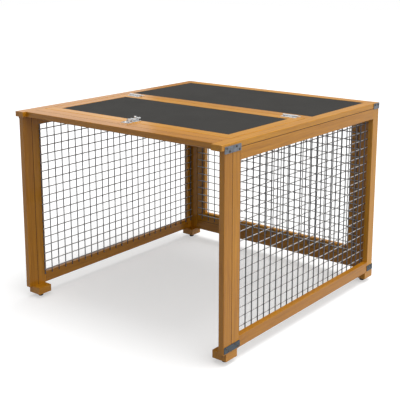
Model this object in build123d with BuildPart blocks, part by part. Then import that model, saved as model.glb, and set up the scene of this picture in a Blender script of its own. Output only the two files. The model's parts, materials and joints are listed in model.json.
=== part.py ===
# Chicken run: two mesh side panels and a mesh back wall in planed battens, open at the front,
# under a felted roof whose front half is a hinged lid held shut by a barrel bolt.
# Millimetres. The front looks along -Y, the ground is z = 0, and x = 0 is the middle.
import os

from build123d import *

os.makedirs("parts", exist_ok=True)

# Overall sizes
run_width = 686
run_depth = 718
post_height = 482

# Battens of the walls
batten_width = 30
batten_thick = 15
arris = 0.7

# Feet, cut from a deeper batten and set a little proud of the back, each on one round glide
foot_block = 18.8
foot_x = 41
foot_y = 43
foot_setback = 10.5
foot_back_proud = 3
glide_width = 14
glide_height = 12
glide_edge = 1.5

# Roof timbers
roof_thick = 14
roof_rail_width = 32
roof_side_width = 30
roof_overhang = 11
lid_rail_width = 30
lid_gap = 2
lid_length = 310
rest_strip_width = 30
rest_strip_thick = 15

# Boards and felt, which sit in grooves of the roof timbers
board_thick = 12
tongue = 5
tongue_thick = 5
groove_slack = 0.5
felt_thick = 1.6
felt_gap = 0.4

# Welded wire mesh
wire = 2.6
mesh_pitch_along = 25.8
mesh_pitch_up = 23.57
mesh_tail = 15
mesh_edge = 5
side_mesh_front_lap = 5
side_mesh_bottom_gap = 8.5
side_mesh_front_tail = 4
side_mesh_back_tail = 2.5
back_mesh_side_lap = 10
back_mesh_bottom_lap = 8.2

# Mending plates at the front and angle plates at the back
plate_thick = 1.5
plate_length = 60
plate_height = 16
plate_hole = 3.6
plate_corner = 1.5
plate_hole_rise = 4
plate_hole_inset = 7
plate_hole_stagger = 10.6
plate_hole_spacing = 35.4
upper_plate_rise = 0.7
lower_plate_rise = 11.2
lower_plate_setback = 1.5
angle_leg = 31
angle_hole_near = 8
angle_hole_far = 22
angle_hole_rise = 3.5
angle_drop = 0.2

# Small round holes and screws are made with this many flats, because they repeat so often
small_round = 12

# Pan-head screws
screw_head = 6
screw_head_height = 1.3
screw_head_taper = 35
screw_shank = 2.8
screw_length = 11
short_screw_length = 9

# Butt hinges across the joint behind the lid
hinge_length = 45
hinge_leaf = 15
hinge_thick = 1.2
hinge_inset = 74
hinge_wall = 1.2
hinge_pin = 2.6
hinge_running = 0.1
hinge_lift = 0.3
hinge_knuckle_gap = 0.3
hinge_side_gap = 0.6
hinge_hole = 3.4
hinge_holes_from_pin = 9.5
hinge_hole_spacing = 27

# Barrel bolt on the lid, with its keeper on the header rail
bolt_plate_width = 24
bolt_plate_length = 26
bolt_plate_setback = 2
bolt_plate_thick = 1.2
bolt_rod = 6
bolt_length = 38
bolt_tip_proud = 1
bolt_running = 0.25
bridge_wall = 1.3
bridge_length = 4.5
bridge_inset = 1
knob_stem = 4
knob_width = 6
knob_rise = 5.5
knob_height = 4.6
knob_edge = 1
knob_gap = 0.4
bolt_hole_inset_x = 3.6
bolt_hole_inset_y = 5.6
keeper_length = 17
keeper_setback = 1
keeper_bridge_inset = 1

# Levels and planes worked out from the sizes
foot_height = glide_height + foot_block
post_top = foot_height + post_height
roof_top = post_top + roof_thick
half_width = run_width / 2
inner_half = half_width - batten_thick
back_proud = max(foot_back_proud, plate_thick + screw_head_height)
front = -(run_depth + back_proud - roof_overhang) / 2
back = front + run_depth
wall_back_front = back - batten_thick
roof_inner = half_width - roof_side_width
header_back = front + 2 * roof_rail_width
lid_front = header_back + lid_gap
lid_back = lid_front + lid_length
lid_half = roof_inner - lid_gap
mid_front = lid_back + lid_gap
mid_back = mid_front + roof_rail_width
roof_back_front = back - roof_rail_width

sides = (("left", -1), ("right", 1))
along_section = {"x": Plane.YZ, "y": Plane.XZ, "z": Plane.XY}


def middle(span):
    return (span[0] + span[1]) / 2


def reach(span):
    return abs(span[1] - span[0])


def mirrored(sign, near, far):
    """The x range between two distances from the middle, on the side that sign names."""
    return (sign * near, sign * far) if sign > 0 else (sign * far, sign * near)


def keep(shape, name):
    shape.label = name
    export_step(shape, "parts/" + name + ".step")


# A planed batten that fills three ranges, with eased arrises and a groove for a board's tongue
def timber(name, along, x, y, z, board=None):
    across, up, run = {"x": (y, z, x), "y": (x, z, y), "z": (x, y, z)}[along]
    toward = -1 if along == "y" else 1
    with BuildPart() as batten:
        with BuildSketch(along_section[along].offset(toward * run[0])) as section:
            with Locations((middle(across), middle(up))):
                Rectangle(reach(across), reach(up))
            chamfer(section.vertices(), arris)
        extrude(amount=toward * reach(run))
        if board:
            board_x, board_y = board
            groove_middle = post_top + board_thick / 2
            with Locations((middle(board_x), middle(board_y), groove_middle)):
                Box(
                    reach(board_x) + 2 * (tongue + groove_slack),
                    reach(board_y) + 2 * (tongue + groove_slack),
                    tongue_thick,
                    mode=Mode.SUBTRACT,
                )
    keep(batten.part, name)


# Side panels: a front post, a mesh frame behind it, and feet under both ends
for side, sign in sides:
    wall = mirrored(sign, inner_half, half_width)
    post_z = (foot_height, post_top)
    frame_front = front + batten_width
    opening = (frame_front + batten_width, back - batten_width)
    timber(side + "_front_post", "z", wall, (front, frame_front), post_z)
    timber(side + "_front_stile", "z", wall, (frame_front, opening[0]), post_z)
    timber(side + "_back_stile", "z", wall, (opening[1], back), post_z)
    timber(side + "_bottom_rail", "y", wall, opening, (foot_height, foot_height + batten_width))
    timber(side + "_top_rail", "y", wall, opening, (post_top - batten_width, post_top))

    foot = mirrored(sign, half_width - foot_x, half_width)
    front_foot = (front + foot_setback, front + foot_setback + foot_y)
    back_foot = (back + foot_back_proud - foot_y, back + foot_back_proud)
    timber(side + "_front_foot", "z", foot, front_foot, (glide_height, foot_height))
    timber(side + "_back_foot", "z", foot, back_foot, (glide_height, foot_height))
    with BuildPart() as glides:
        with BuildSketch():
            with Locations((middle(foot), middle(front_foot)), (middle(foot), middle(back_foot))):
                Circle(glide_width / 2)
        extrude(amount=glide_height)
        chamfer(glides.faces().filter_by(Axis.Z).group_by(Axis.Z)[0].edges(), glide_edge)
    keep(glides.part, side + "_glides")


# Back wall: posts and rails against the side panels, and an inner frame that carries the mesh
outer_post = inner_half - batten_width
inner_stile = outer_post - batten_width
wall_y = (wall_back_front, back)
bottom_rail_top = foot_height + batten_width
top_rail_bottom = post_top - batten_width
for side, sign in sides:
    post_x = mirrored(sign, outer_post, inner_half)
    stile_x = mirrored(sign, inner_stile, outer_post)
    timber("back_" + side + "_post", "z", post_x, wall_y, (foot_height, post_top))
    timber("back_" + side + "_stile", "z", stile_x, wall_y, (bottom_rail_top, top_rail_bottom))
outer_x = (-outer_post, outer_post)
inner_x = (-inner_stile, inner_stile)
timber("back_bottom_rail", "x", outer_x, wall_y, (foot_height, bottom_rail_top))
timber("back_top_rail", "x", outer_x, wall_y, (top_rail_bottom, post_top))
inner_bottom_z = (bottom_rail_top, bottom_rail_top + batten_width)
inner_top_z = (top_rail_bottom - batten_width, top_rail_bottom)
timber("back_inner_bottom_rail", "x", inner_x, wall_y, inner_bottom_z)
timber("back_inner_top_rail", "x", inner_x, wall_y, inner_top_z)


# Straight wires with six flats, laid side by side, with a flat against the wood
def wires(plane, places, length, turn=30):
    with BuildPart() as row:
        with BuildSketch(plane):
            with Locations(*places):
                RegularPolygon(wire / 2, 6, major_radius=False, rotation=turn)
        extrude(amount=length)
    return row.part


def steps(first, last, pitch):
    """Evenly pitched places from first, as many as fit before last."""
    return [first + k * pitch for k in range(int((last - first) / pitch) + 1)]


# Side mesh: uprights on the inner faces of the battens, cross wires welded inside them
side_up_y = steps(
    front + 2 * batten_width - side_mesh_front_lap,
    wall_back_front - side_mesh_back_tail,
    mesh_pitch_along,
)
side_across_z = steps(bottom_rail_top + side_mesh_bottom_gap, top_rail_bottom, mesh_pitch_up)
for side, sign in sides:
    up_x = sign * (inner_half - wire / 2)
    across_x = sign * (inner_half - 1.5 * wire)
    up_low = side_across_z[0] - mesh_tail
    up_high = side_across_z[-1] + mesh_tail
    across_front = side_up_y[0] - side_mesh_front_tail
    across_back = side_up_y[-1] + side_mesh_back_tail
    uprights = wires(Plane.XY.offset(up_low), [(up_x, y) for y in side_up_y], up_high - up_low)
    crossings = wires(
        Plane.XZ.offset(-across_front),
        [(across_x, z) for z in side_across_z],
        across_front - across_back,
    )
    keep(Compound(children=[uprights, crossings]), side + "_mesh")

# Back mesh: the same weld pattern on the front face of the back wall
back_up_x = steps(
    -inner_stile - back_mesh_side_lap, inner_stile + batten_width - mesh_edge, mesh_pitch_along
)
back_across_z = steps(
    inner_bottom_z[1] - back_mesh_bottom_lap, inner_top_z[1] - mesh_edge, mesh_pitch_up
)
back_up_low = back_across_z[0] - mesh_tail
back_up_high = back_across_z[-1] + mesh_tail
back_uprights = wires(
    Plane.XY.offset(back_up_low),
    [(x, wall_back_front - wire / 2) for x in back_up_x],
    back_up_high - back_up_low,
    turn=0,
)
back_crossings = wires(
    Plane.YZ.offset(back_up_x[0] - mesh_tail),
    [(wall_back_front - 1.5 * wire, z) for z in back_across_z],
    back_up_x[-1] - back_up_x[0] + 2 * mesh_tail,
)
keep(Compound(children=[back_uprights, back_crossings]), "back_mesh")


# Fixed roof frame: side rails over the side panels, cross rails between them
roof_z = (post_top, roof_top)
rear_board = ((-roof_inner, roof_inner), (mid_back, roof_back_front))
for side, sign in sides:
    rail_x = mirrored(sign, roof_inner, half_width)
    timber("roof_" + side + "_rail", "y", rail_x, (front - roof_overhang, back), roof_z, rear_board)
cross_x = (-roof_inner, roof_inner)
header_front = front + roof_rail_width
timber("roof_front_rail", "x", cross_x, (front, header_front), roof_z)
timber("roof_header_rail", "x", cross_x, (header_front, header_back), roof_z)
timber("roof_mid_rail", "x", cross_x, (mid_front, mid_back), roof_z, rear_board)
timber("roof_back_rail", "x", cross_x, (roof_back_front, back), roof_z, rear_board)

# Strip under the header, on which the front edge of the shut lid rests
strip_middle = header_back + lid_gap / 2
strip_y = (strip_middle - rest_strip_width / 2, strip_middle + rest_strip_width / 2)
strip_x = (-inner_half + 2 * wire, inner_half - 2 * wire)
timber("lid_rest_strip", "x", strip_x, strip_y, (post_top - rest_strip_thick, post_top))

# Lid frame
lid_x = (-lid_half, lid_half)
lid_inner = lid_half - lid_rail_width
lid_board = ((-lid_inner, lid_inner), (lid_front + lid_rail_width, lid_back - lid_rail_width))
timber("lid_front_rail", "x", lid_x, (lid_front, lid_board[1][0]), roof_z, lid_board)
timber("lid_back_rail", "x", lid_x, (lid_board[1][1], lid_back), roof_z, lid_board)
for side, sign in sides:
    rail_x = mirrored(sign, lid_inner, lid_half)
    timber("lid_" + side + "_rail", "y", rail_x, lid_board[1], roof_z, lid_board)


# Tongued board with a sheet of roofing felt bonded on top
def felted_board(board_name, felt_name, board):
    board_x, board_y = board
    centre = (middle(board_x), middle(board_y))
    with BuildPart() as panel:
        with BuildSketch(Plane.XY.offset(post_top)):
            with Locations(centre):
                Rectangle(reach(board_x), reach(board_y))
        extrude(amount=board_thick)
        with BuildSketch(Plane.XY.offset(post_top + (board_thick - tongue_thick) / 2)):
            with Locations(centre):
                Rectangle(reach(board_x) + 2 * tongue, reach(board_y) + 2 * tongue)
        extrude(amount=tongue_thick)
    keep(panel.part, board_name)
    with BuildPart() as felt:
        with BuildSketch(Plane.XY.offset(post_top + board_thick)):
            with Locations(centre):
                Rectangle(reach(board_x) - 2 * felt_gap, reach(board_y) - 2 * felt_gap)
        extrude(amount=felt_thick)
    keep(felt.part, felt_name)


felted_board("rear_roof_board", "rear_roof_felt", rear_board)
felted_board("lid_board", "lid_felt", lid_board)


# A group of pan-head screws, each driven in along -Z of its plane
def screws(name, planes, length):
    with BuildPart() as group:
        for plane in planes:
            with BuildSketch(plane):
                RegularPolygon(screw_head / 2, small_round)
            extrude(amount=screw_head_height, taper=screw_head_taper)
            with BuildSketch(plane):
                RegularPolygon(screw_shank / 2, small_round // 2)
            extrude(amount=-length)
    keep(group.part, name)


# Front mending plates on the outer faces of the posts, with staggered holes
plate_screws = []
for side, sign in sides:
    with BuildPart() as plates:
        for plate_front, plate_z in (
            (front, post_top + upper_plate_rise),
            (front + lower_plate_setback, foot_height + lower_plate_rise),
        ):
            plate_y = plate_front + plate_length / 2
            face = Plane((sign * half_width, plate_y, plate_z), x_dir=(0, sign, 0), z_dir=(sign, 0, 0))
            first = plate_hole_inset - plate_length / 2
            low_first = first + plate_hole_stagger
            holes = [
                (sign * first, plate_hole_rise),
                (sign * low_first, -plate_hole_rise),
                (sign * (first + plate_hole_spacing), plate_hole_rise),
                (sign * (low_first + plate_hole_spacing), -plate_hole_rise),
            ]
            with BuildSketch(face):
                RectangleRounded(plate_length, plate_height, plate_corner)
                with Locations(*holes):
                    RegularPolygon(plate_hole / 2, small_round, mode=Mode.SUBTRACT)
            extrude(amount=plate_thick)
            outer = face.offset(plate_thick)
            plate_screws += [Plane(outer.from_local_coords((u, v, 0)), z_dir=outer.z_dir) for u, v in holes]
    keep(plates.part, side + "_front_plates")
screws("front_plate_screws", plate_screws, screw_length)

# Back angle plates, bent round the corner of the side panel
angle_screws = []
for side, sign in sides:
    outer_x = sign * (half_width + plate_thick)
    with BuildPart() as angles:
        for angle_z in (roof_top - angle_drop - plate_height / 2, foot_height + lower_plate_rise):
            with BuildSketch(Plane.XY.offset(angle_z - plate_height / 2)):
                with BuildLine():
                    Polyline(
                        (sign * half_width, back - angle_leg),
                        (outer_x, back - angle_leg),
                        (outer_x, back + plate_thick),
                        (sign * (half_width - angle_leg), back + plate_thick),
                        (sign * (half_width - angle_leg), back),
                        (sign * half_width, back),
                        close=True,
                    )
                make_face()
            extrude(amount=plate_height)
            faces = [
                Plane((outer_x, back - along, angle_z + angle_hole_rise), z_dir=(sign, 0, 0))
                for along in (angle_hole_near, angle_hole_far)
            ]
            back_leg_y = back + plate_thick
            faces += [
                Plane((sign * (half_width - along), back_leg_y, angle_z - angle_hole_rise), z_dir=(0, 1, 0))
                for along in (angle_hole_near, angle_hole_far)
            ]
            for face in faces:
                with BuildSketch(face):
                    RegularPolygon(plate_hole / 2, small_round)
                extrude(amount=-plate_thick, mode=Mode.SUBTRACT)
            angle_screws += faces
        bends = angles.edges().filter_by(Axis.Z).group_by(Axis.Y)[-1]
        fillet(bends.sort_by(Axis.X)[-2:] if sign > 0 else bends.sort_by(Axis.X)[:2], plate_thick * 0.9)
    keep(angles.part, side + "_back_angles")
screws("back_angle_screws", angle_screws, screw_length)


# Butt hinges: two leaves with rolled knuckles round a pin, lying on the roof
pin_y = lid_back + lid_gap / 2
knuckle_radius = hinge_pin / 2 + hinge_running + hinge_wall
pin_z = roof_top + hinge_lift + knuckle_radius
knuckle = hinge_length / 3


def hinge_leaf_part(name, centre_x, toward, knuckles, bore):
    """One leaf: toward is +1 for the roof's leaf and -1 for the lid's."""
    leaf_near = knuckle_radius + hinge_side_gap
    holes = [
        (centre_x + k * hinge_hole_spacing / 2, pin_y + toward * hinge_holes_from_pin)
        for k in (-1, 1)
    ]
    with BuildPart() as leaf:
        with BuildSketch(Plane.XY.offset(roof_top)):
            with Locations((centre_x, pin_y + toward * (leaf_near + hinge_leaf) / 2)):
                Rectangle(hinge_length, hinge_leaf - leaf_near)
            with Locations(*[(x, pin_y + toward * leaf_near / 2) for x, _ in knuckles]):
                Rectangle(knuckles[0][1], leaf_near)
            with Locations(*holes):
                RegularPolygon(hinge_hole / 2, small_round, mode=Mode.SUBTRACT)
        extrude(amount=hinge_thick)
        for x, length in knuckles:
            with BuildSketch(Plane.YZ.offset(x - length / 2)):
                with Locations((pin_y, pin_z)):
                    Circle(knuckle_radius)
            extrude(amount=length)
        with Locations(Plane((centre_x, pin_y, pin_z), z_dir=(1, 0, 0))):
            Cylinder(bore, hinge_length, mode=Mode.SUBTRACT)
    keep(leaf.part, name)
    return [Plane((x, y, roof_top + hinge_thick), z_dir=(0, 0, 1)) for x, y in holes]


roof_hinge_screws = []
lid_hinge_screws = []
for side, sign in sides:
    hinge_x = sign * (half_width - hinge_inset)
    outer_knuckle = knuckle - hinge_knuckle_gap
    outer_knuckles = [
        (hinge_x - hinge_length / 2 + outer_knuckle / 2, outer_knuckle),
        (hinge_x + hinge_length / 2 - outer_knuckle / 2, outer_knuckle),
    ]
    inner_knuckles = [(hinge_x, knuckle - hinge_knuckle_gap)]
    roof_hinge_screws += hinge_leaf_part(
        side + "_hinge_roof_leaf", hinge_x, 1, outer_knuckles, hinge_pin / 2
    )
    lid_hinge_screws += hinge_leaf_part(
        side + "_hinge_lid_leaf", hinge_x, -1, inner_knuckles, hinge_pin / 2 + hinge_running
    )
    with BuildPart() as pin:
        with BuildSketch(Plane.YZ.offset(hinge_x - hinge_length / 2)):
            with Locations((pin_y, pin_z)):
                Circle(hinge_pin / 2)
        extrude(amount=hinge_length)
    keep(pin.part, side + "_hinge_pin")
screws("roof_hinge_screws", roof_hinge_screws, short_screw_length)


# A plate with arched bridges for the bolt, as the bolt's housing and its keeper share
bolt_z = roof_top + bolt_plate_thick + bolt_running + bolt_rod / 2
bridge_inner = bolt_rod / 2 + bolt_running


def bridged_plate(name, y, bridge_fronts, hole_ys):
    holes = [
        (x, hole_y)
        for hole_y in hole_ys
        for x in (bolt_hole_inset_x - bolt_plate_width / 2, bolt_plate_width / 2 - bolt_hole_inset_x)
    ]
    with BuildPart() as plate:
        with BuildSketch(Plane.XY.offset(roof_top)):
            with Locations((0, middle(y))):
                RectangleRounded(bolt_plate_width, reach(y), plate_corner)
            with Locations(*holes):
                RegularPolygon(hinge_hole / 2, small_round, mode=Mode.SUBTRACT)
        extrude(amount=bolt_plate_thick)
        for bridge_front in bridge_fronts:
            with BuildSketch(Plane.XZ.offset(-bridge_front)):
                with Locations((0, bolt_z)):
                    Circle(bridge_inner + bridge_wall)
                with Locations((0, (roof_top + bolt_z) / 2)):
                    Rectangle(2 * (bridge_inner + bridge_wall), bolt_z - roof_top)
                with Locations((0, bolt_z)):
                    Circle(bridge_inner, mode=Mode.SUBTRACT)
                with Locations((0, (roof_top + bolt_plate_thick + bolt_z) / 2)):
                    Rectangle(2 * bridge_inner, bolt_z - roof_top - bolt_plate_thick, mode=Mode.SUBTRACT)
                with Locations((0, roof_top - bridge_inner)):
                    Rectangle(4 * bridge_inner, 2 * bridge_inner, mode=Mode.SUBTRACT)
            extrude(amount=-bridge_length)
    keep(plate.part, name)
    return [Plane((x, hole_y, roof_top + bolt_plate_thick), z_dir=(0, 0, 1)) for x, hole_y in holes]


# Housing on the lid's front rail
housing_front = lid_front + bolt_plate_setback
housing_y = (housing_front, housing_front + bolt_plate_length)
housing_bridges = (
    housing_front + bridge_inset,
    housing_y[1] - bridge_inset - bridge_length,
)
lid_screw_planes = lid_hinge_screws + bridged_plate(
    "bolt_housing",
    housing_y,
    housing_bridges,
    (housing_y[0] + bolt_hole_inset_y, housing_y[1] - bolt_hole_inset_y),
)
screws("lid_screws", lid_screw_planes, short_screw_length)

# Keeper on the header rail
keeper_y = (header_back - keeper_setback - keeper_length, header_back - keeper_setback)
keeper_screws = bridged_plate(
    "bolt_keeper",
    keeper_y,
    (keeper_y[1] - keeper_bridge_inset - bridge_length,),
    (keeper_y[0] + bolt_hole_inset_y,),
)
screws("keeper_screws", keeper_screws, short_screw_length)

# Sliding bolt, drawn back clear of its keeper, with its knob between the housing's bridges
bolt_tip = lid_front - bolt_tip_proud
knob_y = housing_bridges[1] - knob_gap - knob_width / 2
with BuildPart() as bolt:
    with BuildSketch(Plane.XZ.offset(-bolt_tip)):
        with Locations((0, bolt_z)):
            Circle(bolt_rod / 2)
    extrude(amount=-bolt_length)
    chamfer(bolt.edges().filter_by(GeomType.CIRCLE), 0.8)
    with BuildSketch(Plane.XY.offset(bolt_z)):
        with Locations((0, knob_y)):
            Circle(knob_stem / 2)
    extrude(amount=knob_rise)
    with BuildSketch(Plane.XY.offset(bolt_z + knob_rise - knob_height / 2)):
        with Locations((0, knob_y)):
            RegularPolygon(knob_width / 2, small_round)
    extrude(amount=knob_height)
    chamfer(bolt.faces().sort_by(Axis.Z)[-1].edges(), knob_edge)
keep(bolt.part, "bolt_rod")
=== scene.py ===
import json
import math

import bmesh
import bpy
from mathutils import Matrix, Vector


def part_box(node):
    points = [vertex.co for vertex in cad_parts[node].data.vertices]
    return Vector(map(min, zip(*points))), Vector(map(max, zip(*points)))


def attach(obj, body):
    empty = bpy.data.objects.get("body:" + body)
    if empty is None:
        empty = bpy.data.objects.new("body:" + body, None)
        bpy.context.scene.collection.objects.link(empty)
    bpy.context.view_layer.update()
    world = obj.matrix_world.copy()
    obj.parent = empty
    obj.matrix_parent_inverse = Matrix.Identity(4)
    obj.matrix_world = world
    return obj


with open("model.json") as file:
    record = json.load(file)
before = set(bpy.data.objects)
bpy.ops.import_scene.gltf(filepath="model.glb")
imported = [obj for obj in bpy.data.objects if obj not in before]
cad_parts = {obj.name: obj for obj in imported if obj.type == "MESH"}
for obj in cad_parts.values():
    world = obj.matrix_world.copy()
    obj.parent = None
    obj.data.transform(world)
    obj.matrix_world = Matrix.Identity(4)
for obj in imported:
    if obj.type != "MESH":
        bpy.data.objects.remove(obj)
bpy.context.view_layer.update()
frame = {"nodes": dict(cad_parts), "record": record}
NODES = frame["nodes"]
SLOT_OF = {part["node"]: part["material_slot"] for part in frame["record"]["subparts"]}
BODY_OF = {node: body for body, nodes in frame["record"]["behaviour"]["bodies"].items() for node in nodes}

MM = 0.001
X, Y, Z = range(3)
WHITE = (1, 1, 1, 1)


# Colours and shader nodes
def linear(code):
    """An sRGB hex colour as linear RGBA."""
    channels = [int(code[i:i + 2], 16) / 255 for i in (1, 3, 5)]
    return tuple(c / 12.92 if c <= 0.04045 else ((c + 0.055) / 1.055) ** 2.4 for c in channels) + (1,)


def plug(tree, node, inputs):
    """Links each named input of a node to another node's output, or sets it to a constant."""
    for name, value in inputs.items():
        if isinstance(value, bpy.types.NodeSocket):
            tree.links.new(value, node.inputs[name])
        else:
            node.inputs[name].default_value = value


def add(tree, kind, inputs, stops=(), **properties):
    """Adds a node with its inputs, properties and (position, hex colour) stops; returns its outputs."""
    node = tree.nodes.new("ShaderNode" + kind)
    for name, value in properties.items():
        setattr(node, name, value)
    plug(tree, node, inputs)
    if stops:
        elements = node.color_ramp.elements
        while len(elements) < len(stops):
            elements.new(0.5)
        for element, (position, code) in zip(elements, stops):
            element.position = position
            element.color = linear(code)
    return node.outputs


def new_material(name):
    """A new material, its node tree and its shader."""
    material = bpy.data.materials.new(name)
    material.use_nodes = True
    tree = material.node_tree
    return material, tree, tree.nodes["Principled BSDF"]


# Stained spruce: planed battens under a honey stain and brushed varnish. Narrow streaks and wider bands
# of grain run along each batten, weathered patches are browner, and the varnish gives a soft shine.
GRAIN_STREAK = 1.3 * MM
GRAIN_BAND = 7 * MM
GRAIN_STRETCH = 0.045
WEATHERED_PATCH = 143 * MM
WEATHERED = "#AE7107"
GRAIN_STOPS = (0.26, 0.44, 0.60, 0.78)
BATTEN_TONES = (
    ("#915809", "#B27311", "#C08017", "#CD8F26"),
    ("#995F0C", "#BC7C15", "#CA891C", "#D6992B"),
    ("#A2680F", "#C6861A", "#D39322", "#DFA333"),
)
TONE_SHIFT = 0.37


def stained_spruce(along, tone):
    """Spruce with its grain along an axis, in one of the tones by which the battens differ."""
    material, tree, shader = new_material(f"stained_spruce_{along}_{tone}")
    place = add(tree, "TexCoord", {})["Object"]
    stretch = [GRAIN_STRETCH if axis == along else 1 for axis in "xyz"]
    lengthwise = add(
        tree, "Mapping", {"Vector": place, "Scale": stretch, "Location": [TONE_SHIFT * tone] * 3}
    )["Vector"]
    streaks = add(
        tree, "TexNoise",
        {"Vector": lengthwise, "Scale": 1 / GRAIN_STREAK, "Detail": 4, "Roughness": 0.6},
    )["Fac"]
    bands = add(
        tree, "TexNoise",
        {"Vector": lengthwise, "Scale": 1 / GRAIN_BAND, "Detail": 2, "Roughness": 0.5, "Distortion": 0.6},
    )["Fac"]
    patches = add(tree, "TexNoise", {"Vector": place, "Scale": 1 / WEATHERED_PATCH, "Detail": 2})["Fac"]
    figure = add(tree, "MixRGB", {"Fac": 0.42, "Color1": bands, "Color2": streaks})["Color"]
    grain = add(
        tree, "ValToRGB", {"Fac": figure}, stops=list(zip(GRAIN_STOPS, BATTEN_TONES[tone]))
    )["Color"]
    browned = add(
        tree, "MapRange", {"Value": patches, "From Min": 0.35, "From Max": 0.75, "To Max": 0.35}
    )["Result"]
    colour = add(tree, "MixRGB", {"Fac": browned, "Color1": grain, "Color2": linear(WEATHERED)})["Color"]
    roughness = add(tree, "MapRange", {"Value": streaks, "To Min": 0.34, "To Max": 0.52})["Result"]
    relief = add(tree, "Bump", {"Height": streaks, "Strength": 0.4, "Distance": 0.15 * MM})["Normal"]
    plug(tree, shader, {
        "Base Color": colour,
        "Roughness": roughness,
        "Normal": relief,
        "Specular IOR Level": 0.2,
        "Coat Weight": 0.36,
        "Coat Roughness": 0.12,
    })
    return material


# Painted shade in the joints: the dark of the grooves where battens meet, matt and uneven
SHADE_VARIATION = 16.7 * MM


def joint_painted_shade():
    material, tree, shader = new_material("painted_shade_in_joints")
    place = add(tree, "TexCoord", {})["Object"]
    uneven = add(tree, "TexNoise", {"Vector": place, "Scale": 1 / SHADE_VARIATION, "Detail": 3})["Fac"]
    # Near-black browns: the painted shade of the grooves between battens
    colour = add(tree, "ValToRGB", {"Fac": uneven}, stops=((0.35, "#3A2208"), (0.65, "#5A3810")))["Color"]
    plug(tree, shader, {"Base Color": colour, "Roughness": 0.8})
    return material


# Bituminous roofing felt: nearly matt charcoal with a speckle of slate grit
GRIT = 1.1 * MM
FELT_PATCH = 71.4 * MM


def roofing_felt():
    material, tree, shader = new_material("bituminous_felt")
    place = add(tree, "TexCoord", {})["Object"]
    grit = add(
        tree, "TexNoise", {"Vector": place, "Scale": 1 / GRIT, "Detail": 3, "Roughness": 0.7}
    )["Fac"]
    patches = add(tree, "TexNoise", {"Vector": place, "Scale": 1 / FELT_PATCH, "Detail": 3})["Fac"]
    speckle = add(tree, "MixRGB", {"Fac": 0.85, "Color1": patches, "Color2": grit})["Color"]
    colour = add(
        tree, "ValToRGB", {"Fac": speckle}, stops=((0.3, "#343331"), (0.5, "#3E3D3B"), (0.7, "#4A4947"))
    )["Color"]
    relief = add(tree, "Bump", {"Height": grit, "Strength": 0.5, "Distance": 0.3 * MM})["Normal"]
    plug(tree, shader, {
        "Base Color": colour, "Roughness": 0.92, "Specular IOR Level": 0.1, "Normal": relief
    })
    return material


# Birch plywood, bare under the felt: a pale face with a long soft figure
VENEER_FIGURE = 6.25 * MM
VENEER_STRETCH = (0.06, 1, 1)


def birch_plywood():
    material, tree, shader = new_material("birch_plywood")
    place = add(tree, "TexCoord", {})["Object"]
    lengthwise = add(tree, "Mapping", {"Vector": place, "Scale": VENEER_STRETCH})["Vector"]
    figure = add(
        tree, "TexNoise",
        {"Vector": lengthwise, "Scale": 1 / VENEER_FIGURE, "Detail": 4, "Distortion": 0.5},
    )["Fac"]
    colour = add(
        tree, "ValToRGB", {"Fac": figure}, stops=((0.3, "#9A7444"), (0.5, "#B48C58"), (0.7, "#C6A26E"))
    )["Color"]
    relief = add(tree, "Bump", {"Height": figure, "Strength": 0.4, "Distance": 0.1 * MM})["Normal"]
    plug(tree, shader, {"Base Color": colour, "Roughness": 0.65, "Normal": relief})
    return material


# Zinc on steel: dipped plates are dull and mottled by large crystals, and plated hardware is bright and
# even. Near the ground the plates are darker.
SPANGLE_STOPS = (0.25, 0.5, 0.75)
HAZE_SPANGLES = 10 / 3
NEAR_GROUND_TONE = "#48525A"
DARK_HEIGHT = 0.1


def zinc(name, tones, spangle, roughness, metallic, darker_near_ground=False):
    """Zinc in three tones, with crystals of one size; it can be made darker near the ground, up to a set
    height in metres.
    """
    material, tree, shader = new_material(name)
    place = add(tree, "TexCoord", {})["Object"]
    crystals = add(tree, "TexVoronoi", {"Vector": place, "Scale": 1 / spangle})["Color"]
    haze = add(
        tree, "TexNoise", {"Vector": place, "Scale": 1 / (HAZE_SPANGLES * spangle), "Detail": 3}
    )["Fac"]
    mottled = add(tree, "MixRGB", {"Fac": 0.6, "Color1": crystals, "Color2": haze})["Color"]
    colour = add(tree, "ValToRGB", {"Fac": mottled}, stops=list(zip(SPANGLE_STOPS, tones)))["Color"]
    # Darker near the ground, fading out above twice the set height
    if darker_near_ground:
        height = add(tree, "SeparateXYZ", {0: place})["Z"]
        above_dark_band = add(
            tree, "MapRange", {"Value": height, "From Min": DARK_HEIGHT, "From Max": 2 * DARK_HEIGHT}
        )["Result"]
        colour = add(tree, "MixRGB", {"Fac": above_dark_band, "Color1": linear(NEAR_GROUND_TONE), "Color2": colour})["Color"]
    relief = add(tree, "Bump", {"Height": haze, "Strength": 0.4, "Distance": 0.05 * MM})["Normal"]
    plug(tree, shader, {
        "Base Color": colour, "Metallic": metallic, "Roughness": roughness, "Normal": relief
    })
    return material


# Galvanised wire with painted light: dull painted shade below and at its sides, and a brighter painted
# highlight where its top faces up
def wire(name, dull, bright):
    material, tree, shader = new_material(name)
    facing = add(tree, "SeparateXYZ", {0: add(tree, "NewGeometry", {})["True Normal"]})["Z"]
    # Painted light: the tone follows how far each face turns up toward the light
    colour = add(tree, "ValToRGB", {"Fac": facing}, stops=((0.1, dull), (0.7, bright)))["Color"]
    plug(tree, shader, {"Base Color": colour, "Metallic": 0.3, "Roughness": 0.5})
    return material


# Moulded rubber of the glides: brown-black, matt and faintly mottled
RUBBER_MOTTLE = 2.5 * MM


def moulded_rubber():
    material, tree, shader = new_material("moulded_rubber")
    place = add(tree, "TexCoord", {})["Object"]
    mottle = add(tree, "TexNoise", {"Vector": place, "Scale": 1 / RUBBER_MOTTLE, "Detail": 2})["Fac"]
    colour = add(tree, "ValToRGB", {"Fac": mottle}, stops=((0.35, "#21160D"), (0.65, "#33231A")))["Color"]
    plug(tree, shader, {"Base Color": colour, "Roughness": 0.7})
    return material


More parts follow.
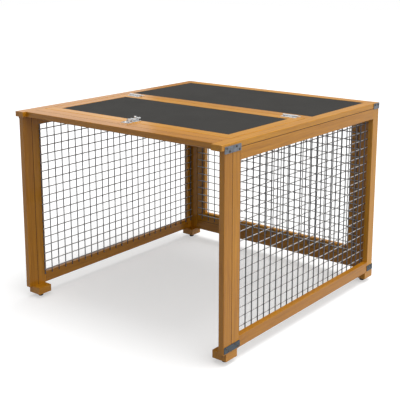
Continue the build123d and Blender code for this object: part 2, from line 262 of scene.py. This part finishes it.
SPRUCE = {
    (along, tone): stained_spruce(along, tone) for along in "xyz" for tone in range(len(BATTEN_TONES))
}
JOINT_SHADE = joint_painted_shade()
# A lighter copy of the wire's zinc for the cross wires: painted light
LIT_CROSS_WIRE = wire("galvanised_wire_painted_lit", "#7E7F82", "#DEDCD8")
DULL_SCREW = zinc("dull_screw_steel", ("#4A4641", "#58534D", "#67625C"), 1.5 * MM, 0.6, 0.3)
# The cross recesses of the screws are near-black: painted shade inside them
RECESS_SHADE = zinc("screw_recess_painted_shade", ("#1C1D20", "#26272A", "#303134"), 1 * MM, 0.7, 0.2)
STAPLE_STEEL = zinc("staple_zinc", ("#75767A", "#8B8C90", "#9FA0A3"), 1 * MM, 0.4, 0.6)
FINISH = {
    "roofing_felt": roofing_felt(),
    "plywood": birch_plywood(),
    # The plates are darker near the ground
    "galvanised_plate": zinc(
        "dull_galvanised_steel", ("#6C7078", "#7B8088", "#8B9098"), 5 * MM, 0.5, 0.6, darker_near_ground=True
    ),
    "bright_zinc": zinc("bright_zinc_plate", ("#C9CBCC", "#DDDEDF", "#ECEDED"), 2 * MM, 0.35, 0.5),
    # The uprights keep the darker copy of the wire's zinc: painted shade
    "mesh_wire": wire("galvanised_wire_painted_shaded", "#55565A", "#77787B"),
    "screw_steel": zinc("screw_zinc", ("#8A8D92", "#A2A5AA", "#B9BCC0"), 1.5 * MM, 0.4, 0.7),
    "black_rubber": moulded_rubber(),
}
DULL_SCREWED = ("front_plate_screws", "back_angle_screws")


# The finish of each CAD node
def grain_axis(node):
    """The axis of a batten's longest side."""
    low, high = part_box(node)
    spans = [high[i] - low[i] for i in range(3)]
    return "xyz"[spans.index(max(spans))]


for number, node in enumerate(sorted(NODES)):
    if SLOT_OF[node] == "stained_timber":
        finish = SPRUCE[grain_axis(node), number % len(BATTEN_TONES)]
    else:
        finish = DULL_SCREW if node in DULL_SCREWED else FINISH[SLOT_OF[node]]
    materials = NODES[node].data.materials
    materials.clear()
    materials.append(finish)


# The cross wires of the mesh get a lighter copy of the uprights' zinc, as painted light
UPRIGHT_RISE = 0.7


def is_upright(made, face):
    """Whether the longest side of a wire's face climbs."""
    corners = [made.data.vertices[i].co for i in face.vertices]
    side = max((b - a for a, b in zip(corners, corners[1:] + corners[:1])), key=lambda way: way.length)
    return abs(side.z) > UPRIGHT_RISE * side.length


for node in [name for name in NODES if SLOT_OF[name] == "mesh_wire"]:
    made = NODES[node]
    made.data.materials.append(LIT_CROSS_WIRE)
    for face in made.data.polygons:
        face.material_index = 0 if is_upright(made, face) else 1


# Painted shade in the joints: an eased arris is darker where it meets another batten
TOUCH = 0.9 * MM
FLAT_FACE = 0.9
TIMBERS = {node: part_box(node) for node in NODES if SLOT_OF[node] == "stained_timber"}


def in_joint(node, place):
    """Whether a place on one batten touches another batten."""
    return any(
        all(low[i] - TOUCH < place[i] < high[i] + TOUCH for i in range(3))
        for other, (low, high) in TIMBERS.items()
        if other != node
    )


for node in TIMBERS:
    made = NODES[node]
    made.data.materials.append(JOINT_SHADE)
    for face in made.data.polygons:
        # An arris face in a joint gets the painted shade
        on_arris = max(abs(way) for way in face.normal) < FLAT_FACE
        if on_arris and in_joint(node, made.matrix_world @ face.center):
            face.material_index = 1


# Making a piece of blocks
def around(middle, size):
    """The range of a size about its middle."""
    return middle - size / 2, middle + size / 2


def block(shape, ranges):
    """A block that fills one range on each axis; ranges are by axis number."""
    middle = [sum(ranges[i]) / 2 for i in range(3)]
    size = [abs(ranges[i][1] - ranges[i][0]) for i in range(3)]
    bmesh.ops.create_cube(shape, size=1, matrix=Matrix.Translation(middle) @ Matrix.Diagonal((*size, 1)))


def finished(name, shape, material):
    """A shape as an object of one material."""
    mesh = bpy.data.meshes.new(name)
    shape.to_mesh(mesh)
    shape.free()
    mesh.materials.append(material)
    made = bpy.data.objects.new(name, mesh)
    bpy.context.collection.objects.link(made)
    return made


def piece(name, shape, material, body):
    """A shape as a piece of the run that moves with a body."""
    made = finished(name, shape, material)
    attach(made, body)


# Cross recesses, pressed a little into the head of each screw, in near-black as painted shade of their
# hollows
RECESS_LENGTH = 2.6 * MM
RECESS_WIDTH = 0.6 * MM
RECESS_DEPTH = 0.3 * MM
RECESS_PROUD = 0.05 * MM
SAME_PLACE = 0.001 * MM


def screws_in(node):
    """The corners of each separate screw in a node."""
    joined = bmesh.new()
    joined.from_mesh(NODES[node].data)
    bmesh.ops.remove_doubles(joined, verts=joined.verts, dist=SAME_PLACE)
    screws = []
    taken = set()
    for first in joined.verts:
        if first in taken:
            continue
        taken.add(first)
        screw = [first]
        for corner in screw:
            near = [edge.other_vert(corner) for edge in corner.link_edges]
            new = [other for other in near if other not in taken]
            taken.update(new)
            screw += new
        screws.append([corner.co.copy() for corner in screw])
    joined.free()
    return screws


def recess(shape, corners):
    """A cross in the middle of a screw's head, the end where most of its corners are."""
    low = [min(corner[i] for corner in corners) for i in range(3)]
    high = [max(corner[i] for corner in corners) for i in range(3)]
    middle = [(low[i] + high[i]) / 2 for i in range(3)]
    axis = max(range(3), key=lambda i: high[i] - low[i])
    outward = 1 if sum(corner[axis] for corner in corners) / len(corners) > middle[axis] else -1
    head = high[axis] if outward > 0 else low[axis]
    depth = (head - outward * RECESS_DEPTH, head + outward * RECESS_PROUD)
    across = [i for i in range(3) if i != axis]
    for length_way, width_way in (across, across[::-1]):
        block(shape, {
            axis: depth,
            length_way: around(middle[length_way], RECESS_LENGTH),
            width_way: around(middle[width_way], RECESS_WIDTH),
        })


for node in [name for name in NODES if SLOT_OF[name] == "screw_steel"]:
    crosses = bmesh.new()
    for corners in screws_in(node):
        recess(crosses, corners)
    piece(node + "_recesses", crosses, RECESS_SHADE, BODY_OF[node])


# Staples that hold the mesh. The mesh's sizes are its wire, the pitch of its welds, and how far its
# wires run on past the last weld.
WIRE = 2.6 * MM
PITCH_ALONG = 25.8 * MM
PITCH_UP = 23.57 * MM
CROSS_TAIL = 4 * MM
TAIL = 15 * MM
STAPLE_WIRE = 0.9 * MM
STAPLE_SLACK = 0.1 * MM
UPRIGHTS_PER_STAPLE = 3
ROWS_PER_STAPLE = 4


def staple(shape, foot, across, out, wires=1):
    """A staple over wires: foot is its middle on the wood, and out is the axis and sign off the wood."""
    axis, sign = out
    along = X + Y + Z - axis - across
    top = foot[axis] + sign * (wires * WIRE + STAPLE_SLACK)
    reach = WIRE / 2 + STAPLE_SLACK + STAPLE_WIRE
    width = around(foot[along], STAPLE_WIRE)
    crown = (top, top + sign * STAPLE_WIRE)
    block(shape, {along: width, across: around(foot[across], 2 * reach), axis: crown})
    for end in (-1, 1):
        leg = foot[across] + end * (reach - STAPLE_WIRE / 2)
        block(shape, {along: width, across: around(leg, STAPLE_WIRE), axis: (foot[axis], top)})


def wires_between(first, last, pitch, every=1):
    """The places of the wires from the first to the last, or of every so many-th of them."""
    count = round((last - first) / pitch) + 1
    return [first + k * pitch for k in range(0, count, every)]


for side, sign in (("left", -1), ("right", 1)):
    low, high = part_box(side + "_mesh")
    wood = high[X] if sign > 0 else low[X]
    rail_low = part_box(side + "_bottom_rail")[1][Z]
    rail_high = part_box(side + "_top_rail")[0][Z]
    uprights = (low[Y] + CROSS_TAIL, high[Y] - CROSS_TAIL, PITCH_ALONG)
    rows = (low[Z] + TAIL, high[Z] - TAIL, PITCH_UP)
    staples = bmesh.new()
    for y in wires_between(*uprights, UPRIGHTS_PER_STAPLE):
        for z in ((low[Z] + rail_low) / 2, (high[Z] + rail_high) / 2):
            staple(staples, (wood, y, z), Y, (X, -sign))
    for y in (uprights[0], wires_between(*uprights)[-1]):
        for z in wires_between(*rows, ROWS_PER_STAPLE):
            staple(staples, (wood, y, z + PITCH_UP / 2), Y, (X, -sign))
    piece(side + "_mesh_staples", staples, STAPLE_STEEL, "root")

low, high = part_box("back_mesh")
staples = bmesh.new()
for x in wires_between(low[X] + TAIL, high[X] - TAIL, PITCH_ALONG, UPRIGHTS_PER_STAPLE):
    for z in (low[Z] + TAIL / 2, high[Z] - TAIL / 2):
        staple(staples, (x, high[Y], z), X, (Y, -1))
for z in wires_between(low[Z] + TAIL, high[Z] - TAIL, PITCH_UP, ROWS_PER_STAPLE):
    for x in (low[X] + TAIL / 2, high[X] - TAIL / 2):
        staple(staples, (x, high[Y], z), Z, (Y, -1), wires=2)
piece("back_mesh_staples", staples, STAPLE_STEEL, "root")


# Studio floor: white paper to the camera and in reflections, and a weak bounce as light
FLOOR_HALF = 12
FLOOR_SEEN = 0.6
FLOOR_BOUNCE = 0.13
FLOOR_GLOW = 0.48


def floor():
    material, tree, shader = new_material("studio_floor")
    rays = add(tree, "LightPath", {})
    seen = add(
        tree, "Math", {0: rays["Is Camera Ray"], 1: rays["Is Glossy Ray"]}, operation="MAXIMUM"
    )["Value"]
    grey = add(tree, "MapRange", {"Value": seen, "To Min": FLOOR_BOUNCE, "To Max": FLOOR_SEEN})["Result"]
    glow = add(tree, "MapRange", {"Value": seen, "To Min": 0, "To Max": FLOOR_GLOW})["Result"]
    plug(tree, shader, {
        "Base Color": grey,
        "Emission Color": WHITE,
        "Emission Strength": glow,
        "Roughness": 1,
        "Specular IOR Level": 0,
    })
    shape = bmesh.new()
    bmesh.ops.create_grid(shape, x_segments=1, y_segments=1, size=FLOOR_HALF)
    made = finished("floor", shape, material)


# Studio light: a dim dome with a broad softbox to the right. The camera sees white behind the object,
# and shiny faces mirror a wall whose greys change with the azimuth in degrees, from +Y round toward -X.
SKY_SEEN = 1
SKY_AMBIENT = 0.1
SOFTBOX = 1.7
SOFTBOX_TOWARD = (0.74, 0, 0.67)
SOFTBOX_FOCUS = 2
WALL_FROM = 0
WALL_TO = 60
WALL_TONES = (
    (0, "#808080"), (0.42, "#C0C0C0"), (0.6, "#A0A0A0"), (0.697, "#6C6C6C"), (0.705, "#FFFFFF")
)


def sky():
    world = bpy.data.worlds.new("studio")
    bpy.context.scene.world = world
    world.use_nodes = True
    tree = world.node_tree
    toward = add(tree, "TexCoord", {})["Generated"]
    facing = add(
        tree, "VectorMath", {0: toward, 1: Vector(SOFTBOX_TOWARD).normalized()}, operation="DOT_PRODUCT"
    )["Value"]
    before = add(tree, "Math", {0: facing, 1: 0}, operation="MAXIMUM")["Value"]
    focused = add(tree, "Math", {0: before, 1: SOFTBOX_FOCUS}, operation="POWER")["Value"]
    light = add(
        tree, "MapRange", {"Value": focused, "To Min": SKY_AMBIENT, "To Max": SKY_AMBIENT + SOFTBOX}
    )["Result"]
    axes = add(tree, "SeparateXYZ", {0: toward})
    leftward = add(tree, "Math", {0: axes["X"], 1: -1}, operation="MULTIPLY")["Value"]
    azimuth = add(tree, "Math", {0: leftward, 1: axes["Y"]}, operation="ARCTAN2")["Value"]
    turned = add(
        tree, "MapRange",
        {"Value": azimuth, "From Min": math.radians(WALL_FROM), "From Max": math.radians(WALL_TO)},
    )["Result"]
    wall = add(tree, "ValToRGB", {"Fac": turned}, stops=WALL_TONES)["Color"]
    rays = add(tree, "LightPath", {})
    cast = add(tree, "Mix", {"Factor": rays["Is Glossy Ray"], "A": light, "B": wall})["Result"]
    level = add(tree, "Mix", {"Factor": rays["Is Camera Ray"], "A": cast, "B": SKY_SEEN})["Result"]
    plug(tree, tree.nodes["Background"], {"Color": WHITE, "Strength": level})


# Key lamp: almost overhead and very soft, for the pale shadow under the run
KEY_TOWARD = (0.14, 0.12, 0.98)
KEY_STRENGTH = 1.9
KEY_SPREAD = 42


def key_lamp():
    lamp = bpy.data.lights.new("key", "SUN")
    lamp.energy = KEY_STRENGTH
    lamp.angle = math.radians(KEY_SPREAD)
    made = bpy.data.objects.new("key", lamp)
    made.rotation_euler = Vector(KEY_TOWARD).to_track_quat("Z", "Y").to_euler()
    bpy.context.collection.objects.link(made)


floor()
sky()
key_lamp()


# Camera, as fitted to the photograph: its place in metres, with the distance before the front posts, its
# angles in degrees, and its lens in pixels of the photograph
CAMERA_RIGHT = 1.4331
CAMERA_BEFORE_POSTS = 1.4468
CAMERA_HEIGHT = 0.9233
CAMERA_DOWN = 12.286
CAMERA_TURN = 38.691
CAMERA_SHIFT = -0.14
FOCAL_PIXELS = 855.2
PHOTO_SIDE = 400
SENSOR_MM = 36
POST_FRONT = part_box("left_front_post")[0][Y]

view = bpy.data.cameras.new("photo_camera")
view.sensor_width = SENSOR_MM
view.lens = FOCAL_PIXELS / PHOTO_SIDE * SENSOR_MM
view.shift_y = CAMERA_SHIFT
camera = bpy.data.objects.new("photo_camera", view)
camera.location = (CAMERA_RIGHT, POST_FRONT - CAMERA_BEFORE_POSTS, CAMERA_HEIGHT)
camera.rotation_euler = (math.radians(90 - CAMERA_DOWN), 0, math.radians(CAMERA_TURN))
bpy.context.collection.objects.link(camera)
bpy.context.scene.camera = camera
bpy.context.scene.view_settings.view_transform = "Standard"
